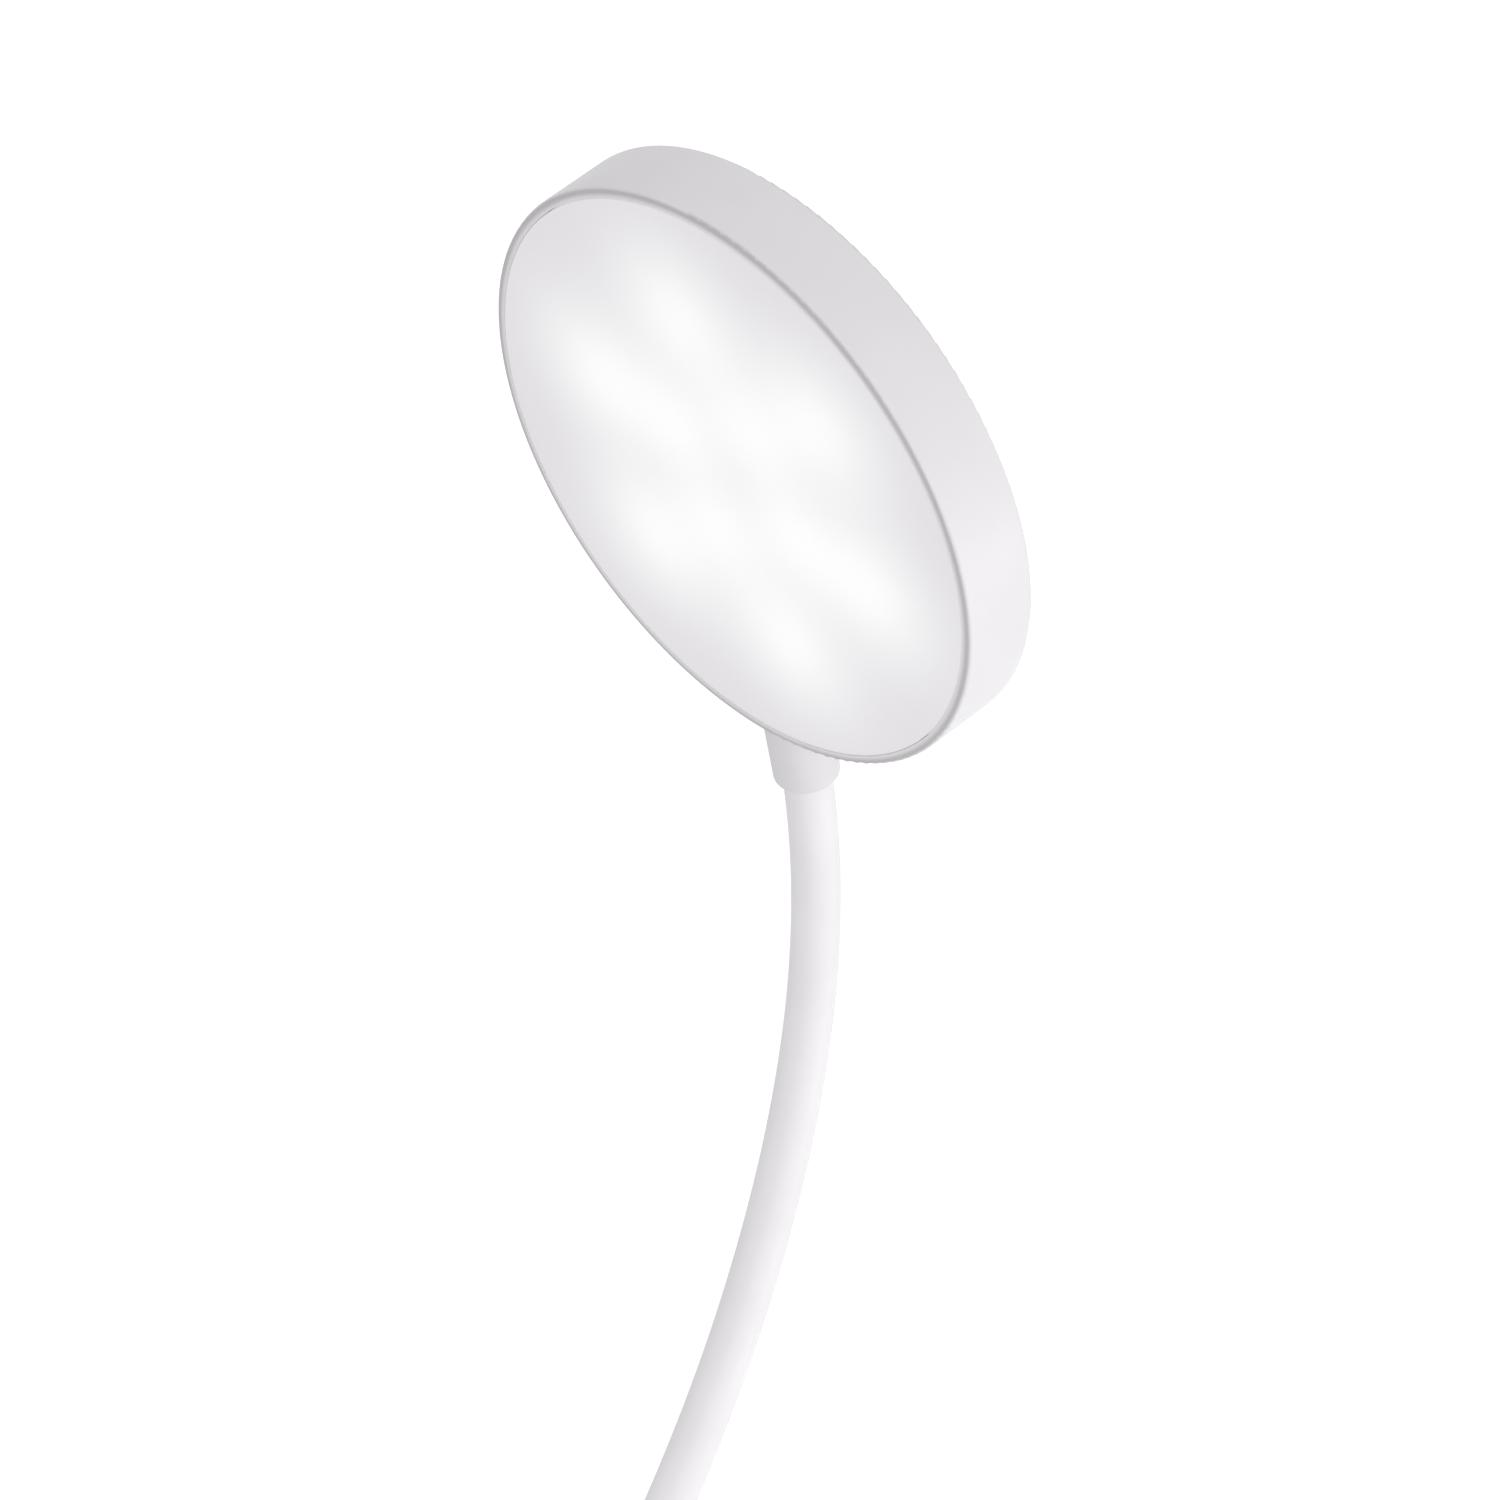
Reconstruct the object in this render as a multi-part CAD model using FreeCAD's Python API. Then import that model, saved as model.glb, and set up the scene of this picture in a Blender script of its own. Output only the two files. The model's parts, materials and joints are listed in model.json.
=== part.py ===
"""Examination lamp: a round ten-LED head on a gooseneck arm that stands on a table clamp.

Frame: millimetres, +Z up, origin on the clamp's upper jaw pad where it rests on the table top.
The lamp looks towards -Y. The arm's rest shape lies in the YZ plane.
The gooseneck is a chain of short rigid links. Each link ends in a ball that the next link's socket turns on.
"""

import FreeCAD
import Part
import math
import os

V = FreeCAD.Vector
X_AXIS = V(1, 0, 0)
Y_AXIS = V(0, 1, 0)
Z_AXIS = V(0, 0, 1)

# ---- driving sizes, mm and degrees ------------------------------------------------------------

# head, in its own frame: z along the face's outward normal from mid thickness, arm towards -y
head_d = 168.0
head_t = 22.5
head_wall = 2.75
head_back_round = 1.0
head_front_round = 1.2
web_width = 17.25
web_t = 2.0
web_top_z = 0.0
ledge_width = 3.75
ledge_t = 1.5
gasket_t = 0.5
gasket_inset = 0.35
diffuser_t = 2.5
diffuser_round = 0.3
cover_t = 2.5
cover_gap = 0.2
cover_border = 21.05
cover_recess_depth = 0.6
boss_r = 4.0
boss_inset = 12.25
boss_count = 4
boss_phase_deg = 45.0
sink_rim = 5.25
sink_t = 2.0
fin_h = 6.0
fin_t = 1.6
fin_pitch = 8.0
fin_count = 11
fin_border = 8.0
board_rim = 7.25
board_t = 1.6
led_side = 5.0
led_h = 0.8
led_dome_r = 1.8
led_outer_circle_r = 51.0
led_outer_count = 6
led_outer_phase_deg = -13.0
led_inner_circle_r = 23.5
led_inner_count = 4
led_inner_phase_deg = -20.0
notch_half_w = 8.5
notch_depth = 20.75

# collar and the fitting that ends the gooseneck, the same at the head and at the base;
# z runs from the housing's surface outwards along the arm
collar_len = 21.8
collar_root_r = 9.5
collar_tip_r = 8.8
collar_tip_round = 1.4
cup_start = 6.0
cup_len = 8.0
cup_floor = 1.5
shank_r = 4.0
shank_past_nut = 0.95
nut_flats = 12.0
nut_t = 4.0
grub_r = 1.45
grub_z = 10.0
grub_sunk = 0.4
press_gap = 0.05
thread_gap = 0.1

# gooseneck
sleeve_r = 6.6
sleeve_wall = 2.0
core_gap = 0.1
groove_depth = 0.5
groove_pitch = 2.8
wire_r = 0.9
wire_offset = 1.5
wire_gap = 0.2
wire_end_gap = 0.9
link_pitch = 42.0
joint_count = 10
link_swing_deg = 30.0
sleeve_ball_gap = 0.25
core_ball_gap = 0.15
flare_gap = 0.1

# rest shape, from the head down: two bends, then the arm straightens up to the base
face_down_deg = 9.4
upper_bend_r = 264.0
upper_bend_len = 105.5
middle_bend_r = 352.0
middle_bend_len = 145.0

# clamp
jaw_pad_t = 2.0
jaw_t = 10.0
jaw_half_w = 20.0
jaw_front_y = -32.0
spine_front_y = 26.0
spine_t = 10.0
throat = 48.0
lower_jaw_t = 12.0
frame_round = 3.0
frame_edge_round = 1.2
socket_boss_r = 14.5
socket_boss_h = 20.0
spigot_r = 7.95
spigot_gap = 0.05
socket_floor = 2.0
spindle_y = -6.0
spindle_r = 5.0
spindle_gap = 0.08
spindle_len = 58.0
thread_pitch = 3.0
thread_depth = 0.9
screw_boss_r = 10.0
screw_boss_h = 6.0
pad_r = 14.0
pad_t = 3.0
pad_facing_t = 2.0
facing_inset = 0.5
pad_rest_lift = 6.0
pad_cup_r = 8.0
pad_cup_h = 7.0
swivel_head_r = 3.9
swivel_head_t = 3.7
swivel_neck_r = 3.0
swivel_gap = 0.1
knob_r = 17.0
knob_h = 17.0
knob_lobes = 6
knob_scallop_r = 6.0
knob_scallop_circle_r = 21.0
lock_z = 22.0
lock_screw_r = 2.95
lock_gap = 0.1
lock_tip_len = 3.0
lock_tip_r = 2.6
lock_shank_out = 5.0
lock_knob_r = 9.0
lock_knob_len = 12.0

# base housing
washer_t = 1.0
washer_inset = 0.5
flange_r = 13.0
flange_t = 3.0
stud_r = 5.0
stud_nut_flats = 16.0
stud_nut_t = 4.5
housing_r = 29.0
housing_h = 46.0
housing_wall = 2.5
housing_round = 8.0
plate_t = 3.0
plate_gap = 0.2
pillar_r = 3.2
pillar_inset = 5.5
pillar_angles_deg = (60.0, 180.0, 300.0)
standoff_r = 3.0
standoff_h = 7.0
standoff_inset = 6.0
standoff_angles_deg = (0.0, 120.0, 240.0)
driver_rim = 4.5
driver_t = 1.6
button_r = 6.9
button_gap = 0.3
button_up = 21.0
button_proud = 1.8
button_travel = 1.2
button_flange_r = 8.6
button_flange_t = 1.4
stem_r = 1.4
switch_half_w = 4.0
switch_depth = 6.0
switch_back_from_wall = 7.0
inlet_half_w = 4.5
inlet_depth = 9.4
inlet_h = 10.0
inlet_nose_r = 4.6
inlet_nose_gap = 0.2
inlet_bore_r = 3.2
inlet_bore_depth = 9.0
inlet_pin_r = 1.0
connector_half_w = 5.0
connector_half_d = 3.5
connector_h = 6.0

# fasteners
m3_r = 1.45
m3_hole_gap = 0.15
m3_csk_r = 2.9
m3_csk_h = 1.5
m3_pan_r = 2.8
m3_pan_h = 2.0
m3_bite = 3.5
m2_r = 0.95
m2_pan_r = 1.9
m2_pan_h = 1.4
pilot_gap = 0.05

# ---- derived places ----------------------------------------------------------------------------

head_r = head_d / 2
head_front_z = head_t / 2
head_back_z = -head_t / 2
head_bore_r = head_r - head_wall
ledge_top_z = head_front_z - diffuser_t - gasket_t
cover_inner_z = head_back_z + cover_t
cover_r = head_bore_r - cover_gap
cover_recess_r = cover_r - cover_border
web_inner_r = head_bore_r - web_width
boss_circle_r = head_bore_r - boss_inset
notch_end_r = head_bore_r - notch_depth
sink_r = head_bore_r - sink_rim
fin_zone_r = web_inner_r - fin_border
board_r = head_bore_r - board_rim
board_z = web_top_z + sink_t
led_z = board_z + board_t

sleeve_bore_r = sleeve_r - sleeve_wall
core_r = sleeve_bore_r - core_gap
wire_reach_r = wire_offset + wire_r
core_bore_r = wire_reach_r + wire_gap
shank_inside = head_wall + nut_t + shank_past_nut
sleeve_seat = cup_start + cup_len
core_seat = cup_start + cup_floor + thread_gap

socket_top_z = jaw_pad_t + jaw_t + socket_boss_h
flange_z = socket_top_z + washer_t
housing_z = flange_z + flange_t
housing_top_z = housing_z + housing_h
housing_bore_r = housing_r - housing_wall
pillar_circle_r = housing_bore_r - pillar_inset
driver_r = housing_bore_r - driver_rim
standoff_circle_r = driver_r - standoff_inset
switch_front_y = switch_back_from_wall - housing_bore_r
washer_r = socket_boss_r - washer_inset
plate_top_z = housing_z + plate_t
driver_z = plate_top_z + standoff_h
driver_top_z = driver_z + driver_t
button_z = housing_z + button_up
arm_foot_z = housing_top_z + collar_len

throat_floor_z = jaw_pad_t - throat
jaw_bottom_z = throat_floor_z - lower_jaw_t
spine_back_y = spine_front_y + spine_t
pad_cup_z = throat_floor_z + pad_rest_lift
pad_disc_z = pad_cup_z + pad_cup_h
pad_face_z = pad_disc_z + pad_t

# ---- small builders ----------------------------------------------------------------------------


def turned(start, *steps):
    """Solid of revolution about Z. Points are (radius, z); a step of two points is an arc: middle, end."""
    edges = []
    at = start
    for step in steps + (start,):
        if isinstance(step[0], tuple):
            middle, end = step
            arc = Part.Arc(V(at[0], 0, at[1]), V(middle[0], 0, middle[1]), V(end[0], 0, end[1]))
            edges.append(arc.toShape())
        else:
            end = step
            edges.append(Part.makeLine(V(at[0], 0, at[1]), V(end[0], 0, end[1])))
        at = end
    return Part.Face(Part.Wire(edges)).revolve(V(0, 0, 0), Z_AXIS, 360)


def corner(r, z, radius, toward_r, toward_z):
    """A quarter-round step at the corner (r, z): from the side facing toward_r to the one facing toward_z."""
    cr = r - radius * toward_r
    cz = z - radius * toward_z
    half = radius * math.sqrt(0.5)
    return (cr + half * toward_r, cz + half * toward_z)


def rod(radius, length, at=V(0, 0, 0), axis=Z_AXIS):
    return Part.makeCylinder(radius, length, at, axis)


def block(x0, x1, y0, y1, z0, z1):
    return Part.makeBox(x1 - x0, y1 - y0, z1 - z0, V(x0, y0, z0))


def around(count, circle_r, phase_deg=0.0):
    """Points evenly spaced on a circle."""
    angles = [math.radians(phase_deg + 360.0 * i / count) for i in range(count)]
    return [(circle_r * math.cos(a), circle_r * math.sin(a)) for a in angles]


def at_angles(angles_deg, circle_r):
    return [(circle_r * math.cos(math.radians(a)), circle_r * math.sin(math.radians(a))) for a in angles_deg]


def hexagon(flats, height, z):
    """Hexagonal prism with two flats facing +Y and -Y."""
    corner_r = flats / math.sqrt(3)
    points = [V(x, y, z) for x, y in around(6, corner_r)]
    return Part.Face(Part.makePolygon(points + points[:1])).extrude(V(0, 0, height))


def fused(shapes):
    first, rest = shapes[0], shapes[1:]
    return first.multiFuse(rest).removeSplitter() if rest else first


def cut(shape, tools):
    return shape.cut(Part.makeCompound(tools))


def leaned(shape, point, lean_deg):
    """Sets a shape built along +Z at a point of the arm's plane, leaning from vertical towards +Y."""
    moved = shape.copy()
    moved.Placement = FreeCAD.Placement(point, FreeCAD.Rotation(X_AXIS, -lean_deg))
    return moved


def save(node, solids):
    """Writes one node. Each entry is a separate solid."""
    shapes = [s for shape in solids for s in shape.Solids]
    result = shapes[0] if len(shapes) == 1 else Part.makeCompound(shapes)
    for solid in shapes:
        if not solid.isValid() or solid.Volume <= 0:
            print("bad solid in", node)
    result.exportStep(os.path.join("parts", node + ".step"))


# ---- gooseneck ---------------------------------------------------------------------------------


def arm_lean(station):
    """Lean from vertical, in degrees, at a distance along the arm from the head's collar."""
    top = -face_down_deg
    upper = math.degrees(min(station, upper_bend_len) / upper_bend_r)
    past_upper = min(max(station - upper_bend_len, 0.0), middle_bend_len)
    middle = math.degrees(past_upper / middle_bend_r)
    foot_len = joint_count * link_pitch - upper_bend_len - middle_bend_len
    past_middle = max(station - upper_bend_len - middle_bend_len, 0.0)
    return (top + upper + middle) * (1.0 - past_middle / foot_len)


def direction(lean_deg):
    return V(0, math.sin(math.radians(lean_deg)), math.cos(math.radians(lean_deg)))


# leans[0] is the stub in the base's collar and the last one the stub in the head's collar
leans = [arm_lean(link_pitch * (joint_count - i)) for i in range(joint_count + 1)]
arm_foot = V(0, 0, arm_foot_z)
joint_points = [arm_foot + direction(leans[0]) * (link_pitch / 2)]
for lean in leans[1:-1]:
    joint_points.append(joint_points[-1] + direction(lean) * link_pitch)
arm_top = joint_points[-1] + direction(leans[-1]) * (link_pitch / 2)
head_centre = arm_top + direction(leans[-1]) * (collar_len + head_r)


def link(outer_r, bore_r, length, passes_r, ball_gap, socket=True, ball=True, grooved=False):
    """One tube of the chain along +Z: a socket about z = 0 and a ball about z = length, or plain ends.

    The ball's mouth flares so that what passes through it, of radius passes_r, can swing with the next link.
    """
    if socket:
        socket_r = outer_r + ball_gap
        low_in = math.sqrt(socket_r**2 - bore_r**2)
        low_out = math.sqrt(socket_r**2 - outer_r**2)
        mid_angle = (math.atan2(low_in, bore_r) + math.atan2(low_out, outer_r)) / 2
        middle = (socket_r * math.cos(mid_angle), socket_r * math.sin(mid_angle))
        steps = [(middle, (outer_r, low_out))]
        start = (bore_r, low_in)
    else:
        low_out = 0.0
        steps = [(outer_r, 0.0)]
        start = (bore_r, 0.0)
    if grooved:
        steps += grooves(outer_r, low_out + groove_pitch / 2, length - groove_pitch / 2)
    steps.append((outer_r, length))
    if ball:
        slope = math.tan(math.radians(link_swing_deg))
        mouth = passes_r / math.cos(math.radians(link_swing_deg)) + flare_gap
        half_b = mouth * slope
        rise = (math.sqrt(half_b**2 - (1 + slope**2) * (mouth**2 - outer_r**2)) - half_b) / (1 + slope**2)
        half_angle = math.asin(rise / outer_r) / 2
        middle = (outer_r * math.cos(half_angle), length + outer_r * math.sin(half_angle))
        steps.append((middle, (mouth + slope * rise, length + rise)))
        steps.append((bore_r, length + (bore_r - mouth) / slope))
    else:
        steps.append((bore_r, length))
    return turned(start, *steps)


def grooves(outer_r, low, high):
    """The V between the turns of the core's wound wires, as points of the outline."""
    turns = max(int((high - low) / groove_pitch), 1)
    step = (high - low) / turns
    points = []
    for i in range(turns):
        points.append((outer_r, low + i * step))
        points.append((outer_r - groove_depth, low + (i + 0.5) * step))
    return points + [(outer_r, high)]


def wires(low, high):
    """The lamp's two leads, side by side along Z."""
    return [rod(wire_r, high - low, V(side * wire_offset, 0, low)) for side in (-1, 1)]


def sleeve_link(length, **ends):
    return link(sleeve_r, sleeve_bore_r, length, core_r, sleeve_ball_gap, **ends)


def core_link(length, **ends):
    return link(core_r, core_bore_r, length, wire_reach_r, core_ball_gap, grooved=True, **ends)


def make_arm():
    sleeve_stub = link_pitch / 2 + collar_len - sleeve_seat
    core_stub = link_pitch / 2 + collar_len - core_seat
    foot = V(0, 0, housing_top_z)
    save("arm_sleeve_00", [leaned(sleeve_link(sleeve_stub, socket=False), foot + Z_AXIS * sleeve_seat, 0)])
    save("arm_core_00", [leaned(core_link(core_stub, socket=False), foot + Z_AXIS * core_seat, 0)])
    for i in range(1, joint_count):
        point = joint_points[i - 1]
        core = [core_link(link_pitch)] + wires(wire_end_gap, link_pitch - wire_end_gap)
        save("arm_sleeve_%02d" % i, [leaned(sleeve_link(link_pitch), point, leans[i])])
        save("arm_core_%02d" % i, [leaned(s, point, leans[i]) for s in core])
    last = joint_points[-1]
    save("arm_sleeve_%02d" % joint_count, [leaned(sleeve_link(sleeve_stub, ball=False), last, leans[-1])])
    save("arm_core_%02d" % joint_count, [leaned(core_link(core_stub, ball=False), last, leans[-1])])


# ---- collars and end fittings ------------------------------------------------------------------


def collar(seat_low=0.0, grub_side=1):
    """Cone that covers the end fitting. seat_low lets it reach below z = 0, to be cut to a round wall."""
    tip_slope = (collar_root_r - collar_tip_r) / collar_len
    edge_r = collar_tip_r + tip_slope * collar_tip_round
    middle = corner(collar_tip_r, collar_len, collar_tip_round, 1, 1)
    end = (collar_tip_r - collar_tip_round, collar_len)
    body = turned(
        (shank_r + thread_gap, seat_low),
        (collar_root_r - tip_slope * seat_low, seat_low),
        (edge_r, collar_len - collar_tip_round),
        (middle, end),
        (sleeve_r + press_gap, collar_len),
        (sleeve_r + press_gap, cup_start),
        (shank_r + thread_gap, cup_start),
    )
    hole = rod(grub_r + thread_gap, collar_root_r, V(0, 0, grub_z), Y_AXIS * grub_side)
    return body.cut(hole)


def grub_screw(grub_side=1):
    surface_r = collar_root_r - (collar_root_r - collar_tip_r) * grub_z / collar_len
    low = sleeve_r
    length = surface_r - grub_sunk - low
    screw = rod(grub_r, length, V(0, low * grub_side, grub_z), Y_AXIS * grub_side)
    key = rod(grub_r / 2, length / 2, V(0, (low + length / 2) * grub_side, grub_z), Y_AXIS * grub_side)
    return screw.cut(key)


def end_fitting():
    cup_r = sleeve_r - thread_gap
    cup_top = cup_start + cup_len
    return turned(
        (core_bore_r, -shank_inside),
        (shank_r, -shank_inside),
        (shank_r, cup_start),
        (cup_r, cup_start),
        (cup_r, cup_top),
        (core_r + press_gap, cup_top),
        (core_r + press_gap, cup_start + cup_floor),
        (core_bore_r, cup_start + cup_floor),
    )


def fitting_nut(seat_z):
    nut = hexagon(nut_flats, nut_t, seat_z - nut_t)
    return nut.cut(rod(shank_r + press_gap, nut_t, V(0, 0, seat_z - nut_t)))


# ---- head --------------------------------------------------------------------------------------


def on_head(shape):
    """From the head's own frame to the lamp's."""
    moved = shape.copy()
    turn = FreeCAD.Rotation(X_AXIS, 90 + face_down_deg)
    moved.Placement = FreeCAD.Placement(head_centre, turn).multiply(moved.Placement)
    return moved


def on_head_collar(shape):
    """From the collar's frame, z outwards along the arm, to the lamp's."""
    moved = shape.copy()
    seat = head_centre - direction(leans[-1]) * head_r
    moved.Placement = FreeCAD.Placement(seat, FreeCAD.Rotation(X_AXIS, 180 + face_down_deg))
    return moved


def head_bosses():
    return around(boss_count, boss_circle_r, boss_phase_deg)


def collar_notch(low_z, high_z):
    """Room for the collar's nut and the leads, inside the wall."""
    room = block(-notch_half_w, notch_half_w, -head_r, -notch_end_r, low_z, high_z)
    return room.common(rod(head_bore_r, high_z - low_z, V(0, 0, low_z)))


def make_head_housing():
    back_mid = corner(head_r, head_back_z, head_back_round, 1, -1)
    front_mid = corner(head_r, head_front_z, head_front_round, 1, 1)
    ring = turned(
        (head_bore_r, head_back_z),
        (head_r - head_back_round, head_back_z),
        (back_mid, (head_r, head_back_z + head_back_round)),
        (head_r, head_front_z - head_front_round),
        (front_mid, (head_r - head_front_round, head_front_z)),
        (head_bore_r, head_front_z),
        (head_bore_r, ledge_top_z),
        (head_bore_r - ledge_width, ledge_top_z),
        (head_bore_r - ledge_width, ledge_top_z - ledge_t),
        (head_bore_r, ledge_top_z - ledge_t),
        (head_bore_r, web_top_z),
        (web_inner_r, web_top_z),
        (web_inner_r, web_top_z - web_t),
        (head_bore_r, web_top_z - web_t),
    )
    bosses = [rod(boss_r, web_top_z - cover_inner_z, V(x, y, cover_inner_z)) for x, y in head_bosses()]
    body = fused([ring] + bosses)
    pilots = []
    for x, y in head_bosses():
        pilots.append(rod(m3_r + pilot_gap, m3_bite + pilot_gap, V(x, y, cover_inner_z)))
        pilots.append(rod(m3_r + pilot_gap, m3_bite + pilot_gap, V(x, y, web_top_z - m3_bite - pilot_gap)))
    pilots.append(collar_notch(web_top_z - web_t, web_top_z))
    pilots.append(rod(shank_r + thread_gap, head_r, V(0, -head_r / 2, 0), -Y_AXIS))
    save("head_housing", [on_head(cut(body, pilots))])


def make_back_cover():
    outer_r = cover_r
    edge_mid = corner(outer_r, head_back_z, head_back_round / 2, 1, -1)
    disc = turned(
        (0, cover_inner_z),
        (0, head_back_z + cover_recess_depth),
        (cover_recess_r, head_back_z + cover_recess_depth),
        (cover_recess_r + cover_recess_depth, head_back_z),
        (outer_r - head_back_round / 2, head_back_z),
        (edge_mid, (outer_r, head_back_z + head_back_round / 2)),
        (outer_r, cover_inner_z),
    )
    holes = []
    for x, y in head_bosses():
        holes.append(rod(m3_r + m3_hole_gap, cover_t, V(x, y, head_back_z)))
        holes.append(countersink_room(x, y, head_back_z, 1))
    save("back_cover", [on_head(cut(disc, holes))])


def countersink_room(x, y, z, way):
    wide = m3_csk_r + m3_hole_gap
    return Part.makeCone(wide, m3_r + m3_hole_gap, m3_csk_h, V(x, y, z), Z_AXIS * way)


def countersunk_screw(x, y, z, way, length):
    """M3 countersunk screw with a cross-slot; z is the head's face and way the side it is driven towards."""
    head = Part.makeCone(m3_csk_r, m3_r, m3_csk_h, V(x, y, z), Z_AXIS * way)
    body = head.fuse(rod(m3_r, length, V(x, y, z), Z_AXIS * way))
    return cut(body, cross_slot(x, y, z, way, m3_csk_r))


def pan_screw(x, y, z, head_r_, head_h, shank_r_, length):
    """Pan-head screw standing on the surface z, its shank going down."""
    body = rod(head_r_, head_h, V(x, y, z)).fuse(rod(shank_r_, length, V(x, y, z), -Z_AXIS))
    return cut(body, cross_slot(x, y, z + head_h, -1, head_r_))


def cross_slot(x, y, z, way, head_size):
    deep = head_size * 0.3
    half_long = head_size * 0.55
    half_wide = head_size * 0.14
    low, high = sorted((z, z + way * deep))
    return [
        block(x - half_long, x + half_long, y - half_wide, y + half_wide, low, high),
        block(x - half_wide, x + half_wide, y - half_long, y + half_long, low, high),
    ]


def make_head_screws():
    screws = []
    for x, y in head_bosses():
        screws.append(on_head(countersunk_screw(x, y, head_back_z, 1, cover_t + m3_bite)))
        screws.append(on_head(pan_screw(x, y, led_z, m3_pan_r, m3_pan_h, m3_r, board_t + sink_t + m3_bite)))
    save("head_screws", screws)


def plate_holes(low_z, high_z):
    tall = high_z - low_z
    holes = [rod(m3_r + m3_hole_gap, tall, V(x, y, low_z)) for x, y in head_bosses()]
    return holes + [collar_notch(low_z, high_z)]


def make_heat_sink():
    fins = []
    for i in range(fin_count):
        x = (i - (fin_count - 1) / 2) * fin_pitch
        half = math.sqrt(fin_zone_r**2 - x**2)
        fins.append(block(x - fin_t / 2, x + fin_t / 2, -half, half, web_top_z - fin_h, web_top_z))
    body = fused([rod(sink_r, sink_t, V(0, 0, web_top_z))] + fins)
    save("heat_sink", [on_head(cut(body, plate_holes(web_top_z, board_z)))])


def led_places():
    outer = around(led_outer_count, led_outer_circle_r, led_outer_phase_deg)
    return outer + around(led_inner_count, led_inner_circle_r, led_inner_phase_deg)


def make_led_board():
    board = rod(board_r, board_t, V(0, 0, board_z))
    save("led_board", [on_head(cut(board, plate_holes(board_z, led_z)))])
    leds = []
    for x, y in led_places():
        half = led_side / 2
        body = block(x - half, x + half, y - half, y + half, led_z, led_z + led_h)
        lens = Part.makeSphere(led_dome_r, V(x, y, led_z + led_h), Z_AXIS, 0, 90, 360)
        leds.append(on_head(body.fuse(lens)))
    save("led_emitters", leds)


def make_diffuser():
    gasket_outer = head_bore_r - gasket_inset
    gasket_inner = head_bore_r - ledge_width + gasket_inset
    gasket = rod(gasket_outer, gasket_t, V(0, 0, ledge_top_z)).cut(rod(gasket_inner, gasket_t, V(0, 0, ledge_top_z)))
    save("diffuser_gasket", [on_head(gasket)])
    outer_r = cover_r
    low = ledge_top_z + gasket_t
    edge_mid = corner(outer_r, head_front_z, diffuser_round, 1, 1)
    disc = turned(
        (0, low),
        (outer_r, low),
        (outer_r, head_front_z - diffuser_round),
        (edge_mid, (outer_r - diffuser_round, head_front_z)),
        (0, head_front_z),
    )
    save("diffuser", [on_head(disc)])


def make_head_collar():
    saddle = -(head_r - math.sqrt(head_r**2 - collar_root_r**2)) - flare_gap
    seated = on_head_collar(collar(seat_low=saddle, grub_side=-1))
    save("head_collar", [seated.cut(on_head(rod(head_r, head_t, V(0, 0, head_back_z))))])
    save("head_grub_screw", [on_head_collar(grub_screw(grub_side=-1))])
    save("head_fitting", [on_head_collar(end_fitting())])
    corner_r = nut_flats / math.sqrt(3)
    seat = -(head_r - math.sqrt(head_bore_r**2 - corner_r**2)) - press_gap
    save("head_fitting_nut", [on_head_collar(fitting_nut(seat))])


def make_head_lead():
    """The two leads' last stretch and the connector that they end in, in the notch of the LED board."""
    connector_y = -notch_end_r - cover_gap
    lead_end = head_r + connector_y - 2 * connector_half_d
    lead_start = collar_len + link_pitch / 2 - wire_end_gap
    leads = [on_head_collar(w) for w in wires(-lead_end, lead_start)]
    body = block(
        -connector_half_w,
        connector_half_w,
        connector_y - 2 * connector_half_d,
        connector_y,
        web_top_z - connector_h / 2,
        led_z,
    )
    save("head_lead", leads + [on_head(body)])


def make_head():
    make_head_housing()
    make_back_cover()
    make_head_screws()
    make_heat_sink()
    make_led_board()
    make_diffuser()
    make_head_collar()
    make_head_lead()


# ---- base housing ------------------------------------------------------------------------------


def make_base_housing():
    top_mid = corner(housing_r, housing_top_z, housing_round, 1, 1)
    inner_round = housing_round - housing_wall
    roof_z = housing_top_z - housing_wall
    roof_mid = corner(housing_bore_r, roof_z, inner_round, 1, 1)
    shell = turned(
        (housing_bore_r, housing_z),
        (housing_r, housing_z),
        (housing_r, housing_top_z - housing_round),
        (top_mid, (housing_r - housing_round, housing_top_z)),
        (shank_r + thread_gap, housing_top_z),
        (shank_r + thread_gap, roof_z),
        (housing_bore_r - inner_round, roof_z),
        (roof_mid, (housing_bore_r, roof_z - inner_round)),
    )
    places = at_angles(pillar_angles_deg, pillar_circle_r)
    pillars = [rod(pillar_r, roof_z + housing_wall / 2 - plate_top_z, V(x, y, plate_top_z)) for x, y in places]
    inside = rod(housing_r - housing_wall / 2, housing_h - housing_wall / 2, V(0, 0, housing_z))
    pillars = [p.common(inside).common(rounded_core()) for p in pillars]
    body = fused([shell] + pillars)
    bite = 2 * m3_bite
    pilots = [rod(m3_r + pilot_gap, bite + pilot_gap, V(x, y, plate_top_z)) for x, y in places]
    pilots.append(rod(button_r + button_gap, housing_r, V(0, 0, button_z), -Y_AXIS))
    pilots.append(rod(inlet_nose_r + inlet_nose_gap, housing_r, V(0, 0, inlet_z()), Y_AXIS))
    save("base_housing", [cut(body, pilots)])


def rounded_core():
    """The housing's outside, a little inside its surface, that the pillars stay within."""
    mid_r = housing_r - housing_wall / 2
    mid_top = housing_top_z - housing_wall / 2
    mid_round = housing_round - housing_wall / 2
    top_mid = corner(mid_r, mid_top, mid_round, 1, 1)
    return turned(
        (0, housing_z),
        (mid_r, housing_z),
        (mid_r, mid_top - mid_round),
        (top_mid, (mid_r - mid_round, mid_top)),
        (0, mid_top),
    )


def inlet_z():
    return driver_top_z + inlet_h / 2


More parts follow.
